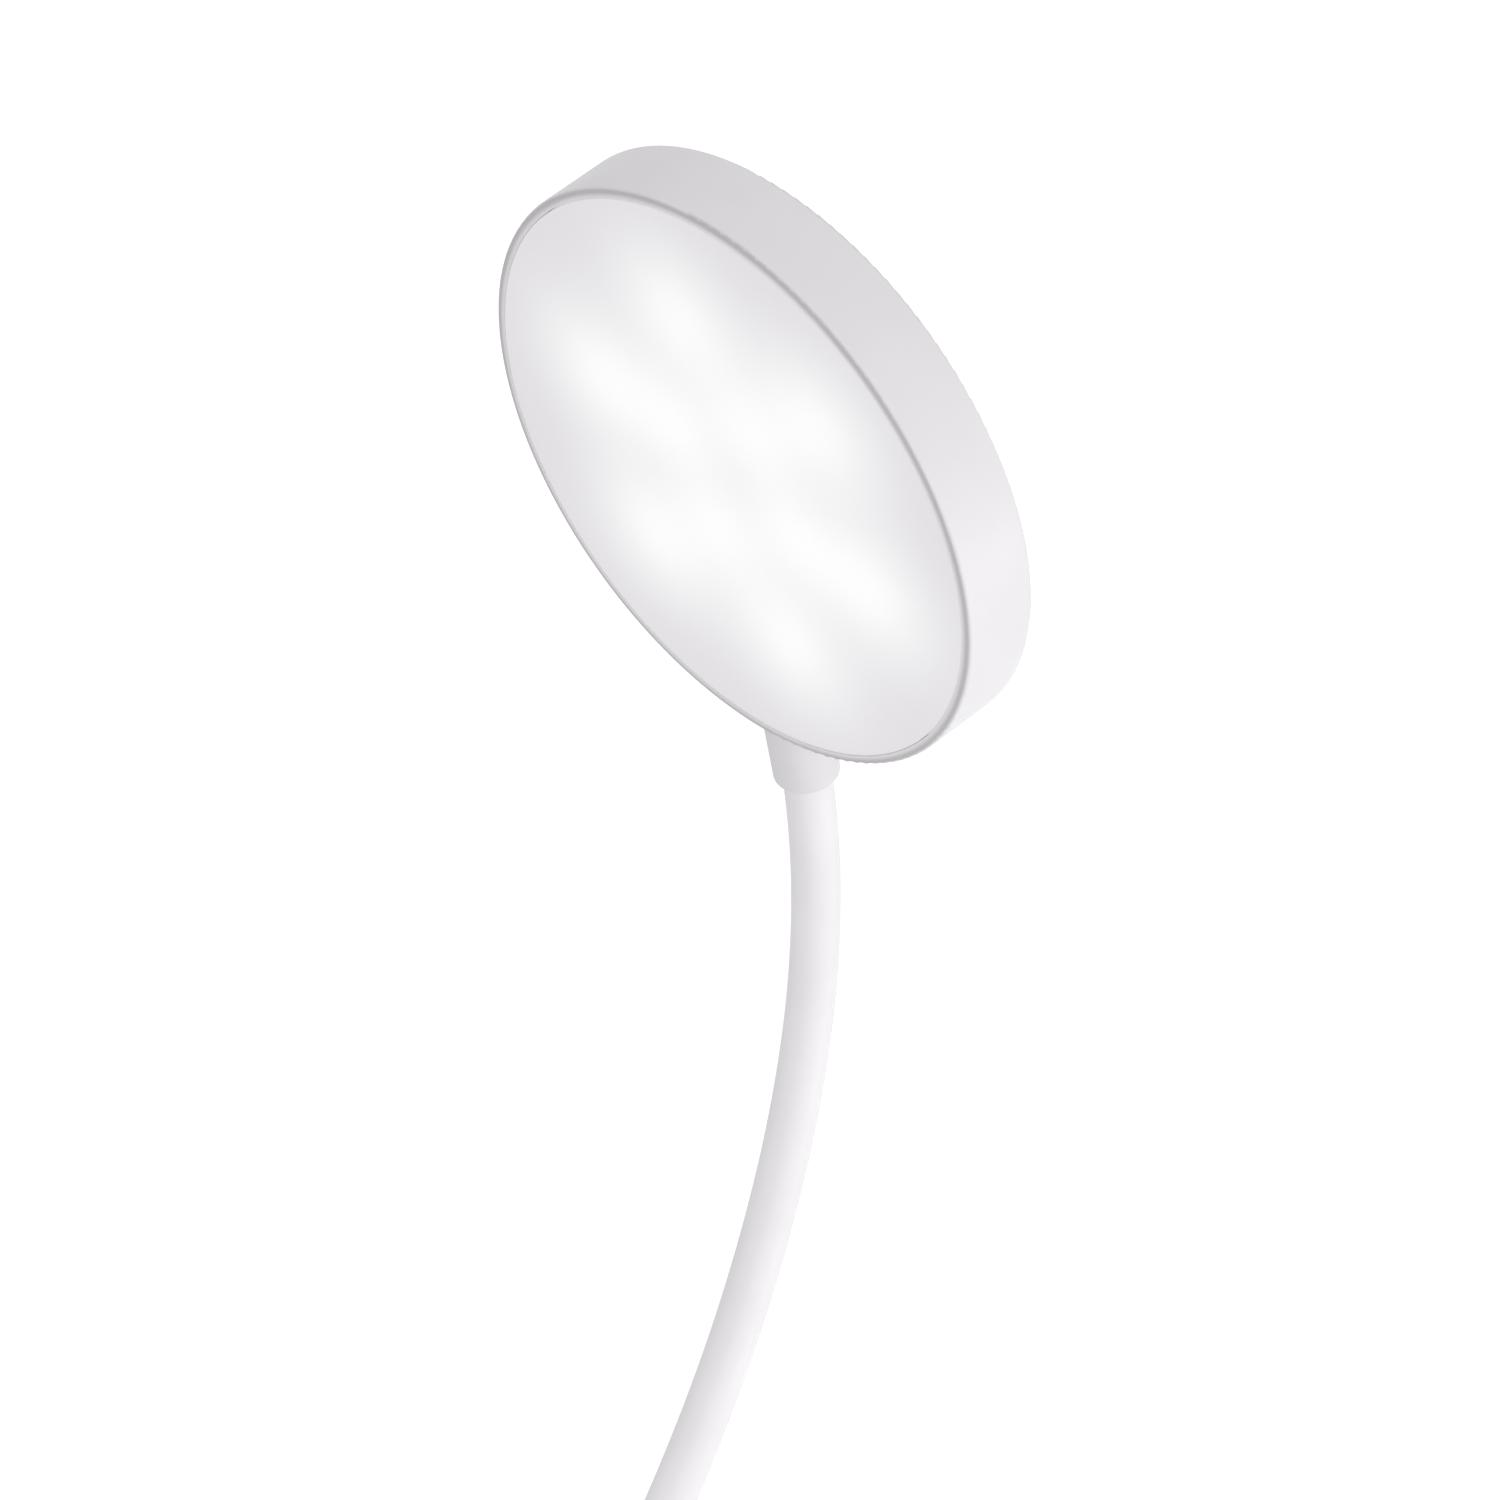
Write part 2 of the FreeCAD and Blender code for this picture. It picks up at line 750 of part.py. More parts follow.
def make_base_plate():
    plate = rod(housing_bore_r - plate_gap, plate_t, V(0, 0, housing_z))
    standoffs = at_angles(standoff_angles_deg, standoff_circle_r)
    posts = [rod(standoff_r, standoff_h, V(x, y, plate_top_z)) for x, y in standoffs]
    body = fused([plate] + posts)
    holes = [rod(stud_r + thread_gap, plate_t, V(0, 0, housing_z))]
    for x, y in at_angles(pillar_angles_deg, pillar_circle_r):
        holes.append(rod(m3_r + m3_hole_gap, plate_t, V(x, y, housing_z)))
        holes.append(countersink_room(x, y, housing_z, 1))
    for x, y in standoffs:
        holes.append(rod(m2_r + pilot_gap, standoff_h, V(x, y, plate_top_z)))
    save("base_plate", [cut(body, holes)])
    screws = [
        countersunk_screw(x, y, housing_z, 1, plate_t + 2 * m3_bite)
        for x, y in at_angles(pillar_angles_deg, pillar_circle_r)
    ]
    board_bite = driver_t + standoff_h / 2
    screws += [pan_screw(x, y, driver_top_z, m2_pan_r, m2_pan_h, m2_r, board_bite) for x, y in standoffs]
    save("base_screws", screws)


def make_driver():
    board = rod(driver_r, driver_t, V(0, 0, driver_z))
    holes = [
        rod(pillar_r + button_gap, driver_t, V(x, y, driver_z))
        for x, y in at_angles(pillar_angles_deg, pillar_circle_r)
    ]
    holes += [
        rod(m2_r + pilot_gap, driver_t, V(x, y, driver_z))
        for x, y in at_angles(standoff_angles_deg, standoff_circle_r)
    ]
    save("driver_board", [cut(board, holes)])
    z = driver_top_z
    coil = rod(5.0, 9.0, V(6, 9, z))
    capacitors = [rod(3.5, 11.0, V(-12, 3, z)), rod(3.0, 8.0, V(-9, -6, z))]
    chip = block(9, 14, -10, -4, z, z + 1.6)
    switch = block(
        -switch_half_w,
        switch_half_w,
        switch_front_y,
        switch_front_y + switch_depth,
        z,
        button_z + switch_half_w,
    )
    stem_room = rod(stem_r + press_gap * 2, button_travel + 1.0, V(0, switch_front_y, button_z), Y_AXIS)
    connector = block(-connector_half_w, connector_half_w, -connector_half_d, connector_half_d, z, z + connector_h)
    save("driver_components", [coil, *capacitors, chip, switch.cut(stem_room), connector])


def make_button():
    """Round push button. Its stem reaches into the switch by half a millimetre."""
    face_y = -(housing_r + button_proud)
    flange_front_y = -math.sqrt(housing_bore_r**2 - button_flange_r**2) + button_gap
    flange_back_y = flange_front_y + button_flange_t
    stem_end_y = switch_front_y + button_gap
    profile = turned(
        (0, 0),
        (stem_r, 0),
        (stem_r, stem_end_y - flange_back_y),
        (button_flange_r, stem_end_y - flange_back_y),
        (button_flange_r, stem_end_y - flange_front_y),
        (button_r, stem_end_y - flange_front_y),
        (button_r, stem_end_y - face_y - 1.0),
        ((button_r - 0.3, stem_end_y - face_y - 0.3), (button_r - 1.0, stem_end_y - face_y)),
        (0, stem_end_y - face_y),
    )
    profile.Placement = FreeCAD.Placement(V(0, stem_end_y, button_z), FreeCAD.Rotation(X_AXIS, 90))
    save("dimmer_button", [profile])


def make_inlet():
    z = inlet_z()
    nose_y = housing_r - 0.4
    back_y = housing_bore_r - press_gap * 2 - inlet_depth
    front_y = math.sqrt(housing_bore_r**2 - inlet_half_w**2) - press_gap * 2
    body = block(-inlet_half_w, inlet_half_w, back_y, front_y, driver_top_z, driver_top_z + inlet_h)
    nose = rod(inlet_nose_r, nose_y - back_y - 1.0, V(0, back_y + 1.0, z), Y_AXIS)
    room = rod(inlet_bore_r, inlet_bore_depth, V(0, nose_y, z), -Y_AXIS)
    pin = rod(inlet_pin_r, inlet_bore_depth, V(0, nose_y - 1.0, z), -Y_AXIS)
    nose = nose.common(block(-inlet_nose_r, inlet_nose_r, back_y, nose_y, driver_top_z, z + inlet_h))
    save("dc_inlet", [body.fuse(nose).cut(room).fuse(pin)])


def make_base_collar():
    foot = V(0, 0, housing_top_z)
    save("base_collar", [leaned(collar(), foot, 0)])
    save("base_grub_screw", [leaned(grub_screw(), foot, 0)])
    save("base_fitting", [leaned(end_fitting(), foot, 0)])
    save("base_fitting_nut", [leaned(fitting_nut(-housing_wall), foot, 0)])
    top = arm_foot_z + link_pitch / 2 - wire_end_gap
    save("base_lead", wires(driver_top_z + connector_h, top))


def make_spigot():
    pin_bottom = jaw_pad_t + socket_floor + 1.0
    spigot = turned(
        (0, pin_bottom),
        (spigot_r - 1.0, pin_bottom),
        (spigot_r, pin_bottom + 1.0),
        (spigot_r, flange_z),
        (flange_r, flange_z),
        (flange_r, housing_z),
        (stud_r, housing_z),
        (stud_r, plate_top_z + stud_nut_t + 0.5),
        (0, plate_top_z + stud_nut_t + 0.5),
    )
    save("spigot", [spigot])
    nut = hexagon(stud_nut_flats, stud_nut_t, plate_top_z)
    save("spigot_nut", [nut.cut(rod(stud_r + press_gap, stud_nut_t, V(0, 0, plate_top_z)))])
    washer = rod(washer_r, washer_t, V(0, 0, socket_top_z))
    save("swivel_washer", [washer.cut(rod(spigot_r + press_gap * 2, washer_t, V(0, 0, socket_top_z)))])


def make_base():
    make_base_housing()
    make_base_plate()
    make_driver()
    make_button()
    make_inlet()
    make_base_collar()
    make_spigot()


# ---- clamp -------------------------------------------------------------------------------------


def make_clamp_frame():
    top_z = jaw_pad_t + jaw_t
    outline = [
        (jaw_front_y, jaw_pad_t),
        (jaw_front_y, top_z),
        (spine_back_y, top_z),
        (spine_back_y, jaw_bottom_z),
        (spindle_y - screw_boss_r - 4.0, jaw_bottom_z),
        (spindle_y - screw_boss_r - 4.0, throat_floor_z),
        (spine_front_y, throat_floor_z),
        (spine_front_y, jaw_pad_t),
    ]
    points = [V(-jaw_half_w, y, z) for y, z in outline]
    frame = Part.Face(Part.makePolygon(points + points[:1])).extrude(V(2 * jaw_half_w, 0, 0))
    corners = [e for e in frame.Edges if abs(e.tangentAt(e.FirstParameter).x) > 0.99]
    outer = [e for e in corners if e.Vertexes[0].Point.z != jaw_pad_t or e.Vertexes[0].Point.y > jaw_front_y]
    frame = frame.makeFillet(frame_round, outer)
    sides = [e for e in frame.Edges if abs(abs(e.CenterOfMass.x) - jaw_half_w) < 1e-6]
    top_sides = [e for e in sides if e.BoundBox.ZMin > jaw_pad_t + 1e-3 or e.CenterOfMass.z < jaw_pad_t - 1e-3]
    frame = frame.makeFillet(frame_edge_round, top_sides)
    boss = rod(socket_boss_r, socket_boss_h + jaw_t / 2, V(0, 0, top_z - jaw_t / 2))
    screw_boss = rod(screw_boss_r, screw_boss_h + lower_jaw_t / 2, V(0, spindle_y, jaw_bottom_z - screw_boss_h))
    body = fused([frame, boss, screw_boss])
    socket_depth = socket_top_z - jaw_pad_t - socket_floor
    tools = [
        rod(spigot_r + spigot_gap, socket_depth, V(0, 0, socket_top_z), -Z_AXIS),
        rod(spindle_r + spindle_gap, throat, V(0, spindle_y, jaw_bottom_z - screw_boss_h)),
        rod(lock_screw_r + lock_gap, socket_boss_r + 1.0, V(0, 0, lock_z), X_AXIS),
    ]
    tools[1] = tools[1].common(
        block(-spine_back_y, spine_back_y, -spine_back_y, spine_back_y, jaw_bottom_z * 2, throat_floor_z + 1.0)
    )
    save("clamp_frame", [cut(body, tools)])
    inset = frame_edge_round + 0.8
    pad = block(
        -jaw_half_w + inset, jaw_half_w - inset, jaw_front_y + inset, spine_front_y - frame_round - 1.0, 0, jaw_pad_t
    )
    save("jaw_pad", [pad])


def make_pressure_pad():
    """Swivel pad: a rubber-faced disc with a cup that the spindle's head turns in."""
    room_r = swivel_head_r + swivel_gap
    room_low = pad_disc_z - swivel_head_t - 2 * swivel_gap
    pad = turned(
        (0, pad_disc_z),
        (0, pad_face_z),
        (pad_r, pad_face_z),
        (pad_r, pad_disc_z),
        (pad_cup_r, pad_disc_z),
        (pad_cup_r, pad_cup_z),
        (swivel_neck_r + swivel_gap, pad_cup_z),
        (swivel_neck_r + swivel_gap, room_low),
        (room_r, room_low),
        (room_r, pad_disc_z),
    )
    pad.translate(V(0, spindle_y, 0))
    save("pressure_pad", [pad])
    save("pad_facing", [rod(pad_r - facing_inset, pad_facing_t, V(0, spindle_y, pad_face_z))])


def make_spindle():
    head_top = pad_disc_z - swivel_gap
    head_low = head_top - swivel_head_t
    shoulder = pad_cup_z - swivel_gap
    bottom = shoulder - spindle_len
    steps = [
        (swivel_head_r, head_top),
        (swivel_head_r, head_low),
        (swivel_neck_r, head_low),
        (swivel_neck_r, shoulder),
        (spindle_r - thread_depth, shoulder),
    ]
    turns = int((spindle_len - thread_pitch) / thread_pitch)
    for i in range(turns):
        z = shoulder - thread_pitch * i
        steps.append((spindle_r, z - thread_pitch * 0.25))
        steps.append((spindle_r, z - thread_pitch * 0.6))
        steps.append((spindle_r - thread_depth, z - thread_pitch * 0.85))
        steps.append((spindle_r - thread_depth, z - thread_pitch))
    steps.append((spindle_r - thread_depth, bottom))
    steps.append((0, bottom))
    spindle = turned((0, head_top), *steps)
    knob_top = bottom + knob_h / 2
    room = rod(spindle_r - thread_depth + press_gap, knob_h / 2, V(0, 0, bottom))
    knob = scalloped_knob(knob_top)
    thread_end = shoulder - thread_pitch * turns
    if knob_top > thread_end:
        room = room.fuse(rod(spindle_r + press_gap, knob_top - thread_end, V(0, 0, thread_end)))
    for shape, node in ((spindle, "spindle"), (knob.cut(room), "spindle_knob")):
        shape.translate(V(0, spindle_y, 0))
        save(node, [shape])


def scalloped_knob(top_z):
    edge = 2.5
    blank = turned(
        (0, top_z - knob_h),
        (knob_r - edge, top_z - knob_h),
        (corner(knob_r, top_z - knob_h, edge, 1, -1), (knob_r, top_z - knob_h + edge)),
        (knob_r, top_z - edge),
        (corner(knob_r, top_z, edge, 1, 1), (knob_r - edge, top_z)),
        (0, top_z),
    )
    scallops = [
        rod(knob_scallop_r, knob_h, V(x, y, top_z - knob_h)) for x, y in around(knob_lobes, knob_scallop_circle_r)
    ]
    return cut(blank, scallops)


def make_lock_screw():
    """Thumb screw that holds the spigot, with a nylon tip ahead of it so that the spigot isn't marked."""
    tip_start = spigot_r + spigot_gap
    tip = rod(lock_tip_r, lock_tip_len, V(tip_start, 0, lock_z), X_AXIS)
    save("lock_tip", [tip])
    screw_start = tip_start + lock_tip_len + press_gap
    knob_start = socket_boss_r + lock_shank_out
    shank = rod(lock_screw_r, knob_start + lock_knob_len / 2 - screw_start, V(0, 0, 0))
    shank.Placement = FreeCAD.Placement(V(screw_start, 0, lock_z), FreeCAD.Rotation(Y_AXIS, 90))
    edge = 1.0
    knob = turned(
        (0, 0),
        (lock_knob_r * 0.6, 0),
        (lock_knob_r, edge * 2),
        (lock_knob_r, lock_knob_len - edge),
        (corner(lock_knob_r, lock_knob_len, edge, 1, 1), (lock_knob_r - edge, lock_knob_len)),
        (0, lock_knob_len),
    )
    flutes = [rod(0.9, lock_knob_len, V(x, y, 0)) for x, y in around(18, lock_knob_r + 0.35)]
    knob = cut(knob, flutes)
    knob.Placement = FreeCAD.Placement(V(knob_start, 0, lock_z), FreeCAD.Rotation(Y_AXIS, 90))
    save("lock_screw", [shank, knob.cut(shank)])


def make_clamp():
    make_clamp_frame()
    make_pressure_pad()
    make_spindle()
    make_lock_screw()


os.makedirs("parts", exist_ok=True)
make_clamp()
make_base()
make_arm()
make_head()
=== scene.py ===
"""Looks of the examination lamp: finishes, the arm's sheath, winding and wires, the studio and the camera."""

import json
import math

import bmesh
import bpy
from mathutils import Matrix, Vector


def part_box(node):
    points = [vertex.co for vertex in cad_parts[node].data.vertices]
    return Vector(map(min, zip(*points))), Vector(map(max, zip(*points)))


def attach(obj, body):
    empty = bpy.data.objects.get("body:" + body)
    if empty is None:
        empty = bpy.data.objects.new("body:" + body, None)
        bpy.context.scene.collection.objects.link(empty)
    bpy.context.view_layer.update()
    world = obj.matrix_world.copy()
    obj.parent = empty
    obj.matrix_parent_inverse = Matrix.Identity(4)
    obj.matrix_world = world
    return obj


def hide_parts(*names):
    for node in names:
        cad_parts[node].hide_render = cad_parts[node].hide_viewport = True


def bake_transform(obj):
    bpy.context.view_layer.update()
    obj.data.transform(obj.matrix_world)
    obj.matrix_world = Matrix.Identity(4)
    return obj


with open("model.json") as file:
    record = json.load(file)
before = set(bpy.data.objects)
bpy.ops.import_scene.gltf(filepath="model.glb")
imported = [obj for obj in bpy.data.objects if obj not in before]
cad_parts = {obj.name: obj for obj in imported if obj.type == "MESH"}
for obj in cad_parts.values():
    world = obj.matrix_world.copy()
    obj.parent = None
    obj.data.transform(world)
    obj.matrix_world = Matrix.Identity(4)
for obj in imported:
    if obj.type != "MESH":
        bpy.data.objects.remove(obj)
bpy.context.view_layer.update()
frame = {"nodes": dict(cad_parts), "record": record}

MM = 0.001

# ---- places read from the frame ----------------------------------------------------------------

straight_up = Vector((0, 0, 1))

joints = {joint["name"]: joint for joint in frame["record"]["behaviour"]["joints"]}
bend_names = sorted(name for name in joints if name.startswith("bend_"))
bend_points = [Vector(joints[name]["pos_m"]) for name in bend_names]
last_bend = len(bend_points) - 1
link_pitch = (bend_points[1] - bend_points[0]).length

head_low, head_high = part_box("head_housing")
head_centre = (head_low + head_high) / 2
head_thickness = 22.5 * MM
to_arm = (bend_points[-1] - head_centre).normalized()
face_normal = Vector((0, to_arm.z, -to_arm.y))
face_up = -to_arm
face_centre = head_centre + face_normal * head_thickness / 2
face_axes = Matrix((Vector((1, 0, 0)), face_up, face_normal)).transposed()

foot_collar_end = Vector((0, 0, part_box("base_collar")[1].z))
head_collar_end = bend_points[-1] - to_arm * link_pitch / 2

# ---- sizes of the arm's pieces -----------------------------------------------------------------


def radius_of(node):
    """Half the width of a lowest link, which stands upright."""
    low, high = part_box(node)
    return (high.x - low.x) / 2


sheath_r = radius_of("arm_sleeve_00")
sheath_wall = 1.9 * MM
sheath_in_collar = 7.7 * MM
sheath_sides = 64
sheath_step = 1.5 * MM
sheath_crease = 40

winding_r = radius_of("arm_core_00")
winding_bore_r = 2.6 * MM
winding_in_fitting = 14.1 * MM
winding_pitch = 2.8 * MM
winding_sides = 40
winding_step = winding_pitch / 6
winding_crease = 60
groove_depth = 0.5 * MM
# the groove's V falls over 1/5 of a turn and rises over the next 1/5
groove_steepness = 5.0

wire_r = 0.9 * MM
wire_offset = 1.5 * MM
wire_sides = 16
wire_step = 4 * MM

# a ring this close to either end of a bend's pieces keeps the shading even across the seam
seam_ring = 0.3 * MM

# ---- sizes of the plug on the leads' upper end -------------------------------------------------

plug_half = Vector((5.0 * MM, 3.5 * MM, 3.3 * MM))
plug_from_centre = 64.2 * MM
plug_forward = 0.3 * MM
plug_edge = 0.2 * MM
latch_rise = 0.3 * MM
latch_half_thickness = 0.5 * MM
mouth_rim_back = 0.6 * MM
mouth_rim_proud = 0.35 * MM
mouth_rim_half_width = 0.5 * MM

# ---- the shell's colour and the painted shade on its rim ---------------------------------------

shell_white = (0.80, 0.784, 0.806)
shell_drift = 0.02
shell_rough = 0.42
collar_rough = 0.46
# painted shade: the collars' white is darker than the shell's by this share
collar_painted_shade = 0.06

# painted shade: a grey band on the rim's front edge round the diffuser, where the rim lies in shade; it fades
# in and out between these distances from the face's centre and behind the face
rim_shade_grey = (0.53, 0.515, 0.535)
rim_shade_inner = (81.4 * MM, 82.9 * MM)
rim_shade_outer = (84.0 * MM, 83.2 * MM)
rim_shade_depth = (-2.6 * MM, -1.6 * MM)

# ---- the diffuser's glow -----------------------------------------------------------------------

# Two rings of soft spots, fitted to the photo's look. They lie a few millimetres off the modelled
# light-emitting diodes. "first" is the first spot's angle, and "spread" the distance over which a
# spot falls to 1/e.
glow_rings = (
    {"count": 6, "radius": 48.0 * MM, "first": math.radians(-15.0), "spread": 22.5 * MM, "share": 1.0},
    {"count": 4, "radius": 19.8 * MM, "first": math.radians(-23.5), "spread": 17.0 * MM, "share": 0.73},
)
glow_shift = (2.6 * MM, 0.8 * MM)
glow_veil = 0.365
glow_spot = 0.205
veil_tint = (1.0, 0.995, 1.0)
spot_tint = (1.0, 1.028, 0.984)
opal_base = (0.40, 0.383, 0.412)

# ---- studio ------------------------------------------------------------------------------------

floor_gap = 12 * MM
floor_half = 3.0
floor_veil = 0.45
light_tint = (1.0, 0.995, 1.0)
world_seen = 1.0
world_from_above = 0.83

# the lights' places are metres from a point below the head's centre; "side" is a square's edge
lit_below_head = 0.1
key_right = 1.2
key_near = 0.5
key_drop = 0.7
key_side = 0.5
key_power = 4.9
fill_near = 1.6
fill_drop = 0.5
fill_side = 1.2
fill_power = 6.2
back_way = Vector((0.15, 0.98, 0.1)).normalized()
back_distance = 1.6
back_side = 1.2
back_power = 3.0

# the camera, fitted to the photo's view
camera_azimuth = math.radians(45.64)
camera_elevation = math.radians(34.03)
camera_distance = 2.0
camera_reach = 50.0
sensor_mm = 36.0
lens_mm = 190.94
aim_right = 5.4 * MM
aim_below = 67.7 * MM

# ---- material helpers --------------------------------------------------------------------------

# Blender's noise keeps mostly between these two values
NOISE_LOW = 0.3
NOISE_HIGH = 0.7


def darker(colour, share):
    return tuple(c * (1 - share) for c in colour)


class Finish:
    """A node material with a Principled shader, built up by the calls below in the part's own coordinates."""

    def __init__(self, name):
        self.material = bpy.data.materials.new(name)
        self.material.use_nodes = True
        self.nodes = self.material.node_tree.nodes
        self.links = self.material.node_tree.links
        self.shader = self.nodes["Principled BSDF"]
        self.place = self.nodes.new("ShaderNodeTexCoord").outputs["Object"]

    def plain(self, **values):
        """Sets the shader's values; an underscore stands for a space in a value's name."""
        for name, value in values.items():
            self.shader.inputs[name.replace("_", " ")].default_value = value
        return self

    def on_face(self):
        """Place in the head's own frame: x to the right and y up on the face, z out of it, from its centre."""
        mapping = self.nodes.new("ShaderNodeMapping")
        mapping.vector_type = "TEXTURE"
        mapping.inputs["Location"].default_value = face_centre
        mapping.inputs["Rotation"].default_value = face_axes.to_euler()
        self.links.new(self.place, mapping.inputs["Vector"])
        return mapping.outputs["Vector"]

    def ramp(self, value, low, high):
        """0 below low and 1 above high, smooth between; falls instead of rising where low is the larger."""
        node = self.nodes.new("ShaderNodeMapRange")
        node.interpolation_type = "SMOOTHSTEP"
        self.links.new(value, node.inputs["Value"])
        node.inputs["From Min"].default_value = low
        node.inputs["From Max"].default_value = high
        return node.outputs["Result"]

    def noise(self, size, detail=3.0, stretch=None):
        """Noise with features of about that size in metres, stretched by a factor along each axis."""
        texture = self.nodes.new("ShaderNodeTexNoise")
        texture.inputs["Scale"].default_value = 1.0 / size
        texture.inputs["Detail"].default_value = detail
        source = self.place
        if stretch:
            mapping = self.nodes.new("ShaderNodeMapping")
            mapping.inputs["Scale"].default_value = stretch
            self.links.new(source, mapping.inputs["Vector"])
            source = mapping.outputs["Vector"]
        self.links.new(source, texture.inputs["Vector"])
        return texture.outputs["Fac"]

    def math(self, operation, *values, clamp=False):
        node = self.nodes.new("ShaderNodeMath")
        node.operation = operation
        node.use_clamp = clamp
        for socket, value in zip(node.inputs, values):
            if isinstance(value, (int, float)):
                socket.default_value = value
            else:
                self.links.new(value, socket)
        return node.outputs[0]

    def spread(self, value, low, high, from_low=0.0, from_high=1.0):
        """Low where the value is from_low, high where it is from_high, straight between."""
        node = self.nodes.new("ShaderNodeMapRange")
        self.links.new(value, node.inputs["Value"])
        limits = {"From Min": from_low, "From Max": from_high, "To Min": low, "To Max": high}
        for name, limit in limits.items():
            node.inputs[name].default_value = limit
        return node.outputs["Result"]

    def contrast(self, value, from_low=NOISE_LOW, from_high=NOISE_HIGH):
        return self.spread(value, 0.0, 1.0, from_low, from_high)

    def mix(self, factor, first, second):
        node = self.nodes.new("ShaderNodeMix")
        node.data_type = "RGBA"
        self.links.new(factor, node.inputs["Factor"])
        for socket, colour in ((node.inputs["A"], first), (node.inputs["B"], second)):
            if isinstance(colour, tuple):
                socket.default_value = (*colour, 1.0)
            else:
                self.links.new(colour, socket)
        return node.outputs["Result"]

    def colour(self, first, second, factor):
        self.links.new(self.mix(factor, first, second), self.shader.inputs["Base Color"])
        return self

    def roughness(self, low, high, noise):
        rough = self.spread(noise, low, high, NOISE_LOW, NOISE_HIGH)
        self.links.new(rough, self.shader.inputs["Roughness"])
        return self

    def bump(self, height, depth):
        """Relief of that depth in metres."""
        node = self.nodes.new("ShaderNodeBump")
        node.inputs["Distance"].default_value = depth
        node.inputs["Strength"].default_value = 1.0
        self.links.new(height, node.inputs["Height"])
        self.links.new(node.outputs["Normal"], self.shader.inputs["Normal"])
        return self


# ---- finishes ----------------------------------------------------------------------------------


def moulded(name, colour, rough, relief=0.006 * MM, drift=0.03):
    """Moulded plastic: a fine even grain, slow drifts of colour and gloss, a few faint rub marks."""
    finish = Finish(name)
    slow = finish.noise(18 * MM, detail=2.0)
    fine = finish.noise(0.35 * MM, detail=4.0)
    rubs = finish.noise(6 * MM, detail=5.0, stretch=(1.0, 1.0, 0.25))
    finish.colour(darker(colour, drift), colour, finish.contrast(slow))
    gloss = finish.math("ADD", finish.math("MULTIPLY", rubs, 0.6), finish.math("MULTIPLY", fine, 0.4))
    finish.roughness(rough - 0.06, rough + 0.08, gloss)
    finish.plain(Specular_IOR_Level=0.25)
    return finish.bump(fine, relief)


def shell_with_painted_rim_shade():
    """The shell's plastic, with painted shade: a grey band round the diffuser on the rim's front edge, where
    the rim lies in shade.
    """
    finish = moulded("shell_white_rim", shell_white, shell_rough, drift=shell_drift)
    split = finish.nodes.new("ShaderNodeSeparateXYZ")
    finish.links.new(finish.on_face(), split.inputs["Vector"])
    flat = finish.nodes.new("ShaderNodeCombineXYZ")
    finish.links.new(split.outputs["X"], flat.inputs["X"])
    finish.links.new(split.outputs["Y"], flat.inputs["Y"])
    length = finish.nodes.new("ShaderNodeVectorMath")
    length.operation = "LENGTH"
    finish.links.new(flat.outputs["Vector"], length.inputs[0])
    r = length.outputs["Value"]
    # painted shade on the rim's front edge next to the diffuser
    rim_shade = finish.math("MULTIPLY", finish.ramp(r, *rim_shade_inner), finish.ramp(r, *rim_shade_outer))
    rim_shade = finish.math("MULTIPLY", rim_shade, finish.ramp(split.outputs["Z"], *rim_shade_depth))
    base = finish.shader.inputs["Base Color"]
    plain = base.links[0].from_socket
    finish.links.new(finish.mix(rim_shade, plain, rim_shade_grey), base)
    return finish


def glow_spots(finish):
    """Sum of the glow's soft spots at a place on the face, 1 at the middle of a lone outer spot."""
    place = finish.on_face()
    total = None
    for ring in glow_rings:
        for i in range(ring["count"]):
            angle = ring["first"] + 2 * math.pi * i / ring["count"]
            x = ring["radius"] * math.cos(angle) + glow_shift[0]
            y = ring["radius"] * math.sin(angle) + glow_shift[1]
            away = finish.nodes.new("ShaderNodeVectorMath")
            away.operation = "DISTANCE"
            finish.links.new(place, away.inputs[0])
            away.inputs[1].default_value = (x, y, 0.0)
            ratio = finish.math("DIVIDE", away.outputs["Value"], ring["spread"])
            squared = finish.math("MULTIPLY", ratio, ratio)
            bell = finish.math("EXPONENT", finish.math("MULTIPLY", squared, -1.0))
            spot = finish.math("MULTIPLY", bell, ring["share"])
            total = spot if total is None else finish.math("ADD", total, spot)
    return total


def opal_glow():
    """Opal sheet lit from behind: an even veil, with a ring of six soft spots round a ring of four."""
    finish = Finish("opal_diffuser")
    spots = glow_spots(finish)
    grain = finish.noise(0.8 * MM, detail=2.0)
    veil = finish.math("MULTIPLY", finish.spread(grain, 0.99, 1.01), glow_veil)
    light = finish.math("ADD", veil, finish.math("MULTIPLY", spots, glow_spot))
    finish.links.new(light, finish.shader.inputs["Emission Strength"])
    tint = finish.mix(finish.math("MULTIPLY", spots, 1.0, clamp=True), veil_tint, spot_tint)
    finish.links.new(tint, finish.shader.inputs["Emission Color"])
    finish.plain(Base_Color=(*opal_base, 1.0))
    finish.roughness(0.3, 0.36, finish.noise(9 * MM))
    return finish.bump(grain, 0.002 * MM)


def metal(name, colour, rough, grain=(1.0, 1.0, 30.0), relief=0.002 * MM):
    """Bare metal with drawn or turned marks."""
    finish = Finish(name)
    marks = finish.noise(0.5 * MM, detail=4.0, stretch=grain)
    stains = finish.noise(7 * MM)
    finish.colour(darker(colour, 0.18), colour, finish.contrast(stains, 0.35, 0.6))
    finish.roughness(rough - 0.08, rough + 0.14, marks)
    finish.plain(Metallic=1.0)
    return finish.bump(marks, relief)


def powder_coat(name, colour):
    """Powder coat: the low waves of its orange peel under a satin gloss."""
    finish = Finish(name)
    peel = finish.noise(1.1 * MM, detail=2.0)
    slow = finish.noise(25 * MM, detail=2.0)
    finish.colour(darker(colour, 0.035), colour, finish.contrast(slow))
    finish.roughness(0.34, 0.44, peel)
    return finish.bump(peel, 0.02 * MM)


